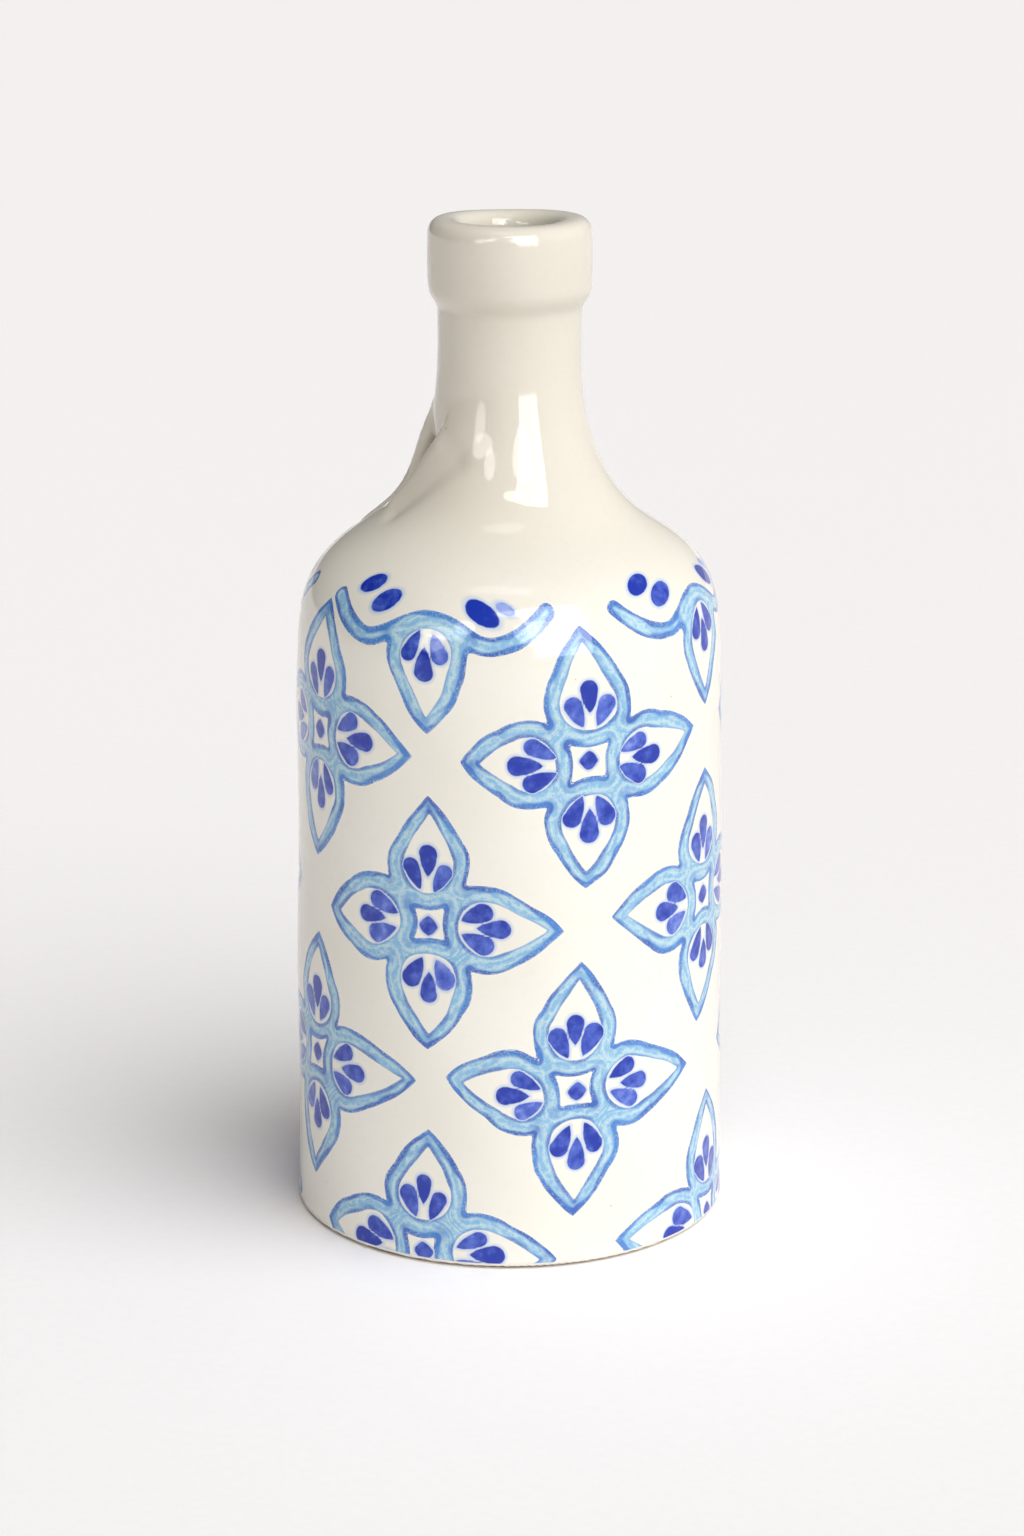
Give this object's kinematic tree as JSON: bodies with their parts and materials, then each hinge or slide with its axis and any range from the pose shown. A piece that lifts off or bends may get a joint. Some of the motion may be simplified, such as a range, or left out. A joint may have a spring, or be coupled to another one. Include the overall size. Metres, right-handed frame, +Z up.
{
  "type": "talavera pottery vase",
  "caption": "Bottle-shaped glazed ceramic vase with a collared mouth, a small loop handle at the shoulder and blue painted flowers.",
  "frame": {"origin": "middle of the foot, on the surface the vase stands on", "axes": "+Z up along the vase's axis, -X towards the loop handle"},
  "size_m": [0.0962, 0.0962, 0.2213],
  "materials": {
    "clay": "fired buff-orange earthenware, matt",
    "white_glaze": "warm off-white gloss glaze with fine specks",
    "light_blue_paint": "watery light blue brushwork under gloss",
    "cobalt_paint": "cobalt blue brushwork under gloss"
  },
  "bodies": {
    "root": {"floor_disc": "clay", "body_wall": "clay", "shoulder_dome": "clay", "neck_tube": "clay", "mouth_collar": "clay", "loop_handle": "clay", "outer_glaze": "white_glaze", "handle_glaze": "white_glaze", "inner_glaze": "white_glaze", "outline_strokes": "light_blue_paint", "petal_drops": "cobalt_paint", "centre_diamonds": "cobalt_paint"}
  },
  "joints": []
}
